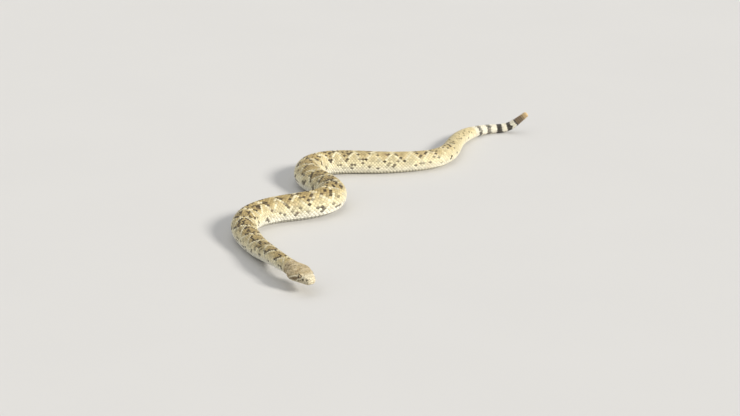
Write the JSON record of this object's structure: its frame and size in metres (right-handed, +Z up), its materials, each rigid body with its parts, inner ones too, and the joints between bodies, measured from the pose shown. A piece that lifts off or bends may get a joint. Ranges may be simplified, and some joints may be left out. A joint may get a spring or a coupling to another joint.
{
  "type": "western diamondback rattlesnake",
  "caption": "Life-size still model of a western diamondback rattlesnake, stretched out in loose bends on its belly with the head and rattle held just off the ground.",
  "frame": {"origin": "middle of the animal's bounding box, on the floor it lies on", "axes": "+Y from the head end to the rattle end, +X to the side the rattle points to, +Z up"},
  "size_m": [0.5085, 0.7993, 0.0435],
  "materials": {
    "skin": "dry keeled scales, tan with darker diamonds",
    "tail_skin": "small scales, white with black rings",
    "eye": "clear and smooth over a tan iris",
    "rattle": "dry horn, straw to tan",
    "rattle_base": "dark fresh horn"
  },
  "bodies": {
    "root": {"head": "skin", "lower_jaw": "skin", "eye_left": "eye", "eye_right": "eye", "neck": "skin", "trunk_1": "skin", "trunk_2": "skin", "trunk_3": "skin", "trunk_4": "skin", "trunk_5": "skin", "trunk_6": "skin", "trunk_7": "skin", "tail": "tail_skin", "rattle_1": "rattle_base", "rattle_2": "rattle", "rattle_3": "rattle", "rattle_4": "rattle", "rattle_5": "rattle", "rattle_6": "rattle", "rattle_7": "rattle"}
  },
  "joints": []
}
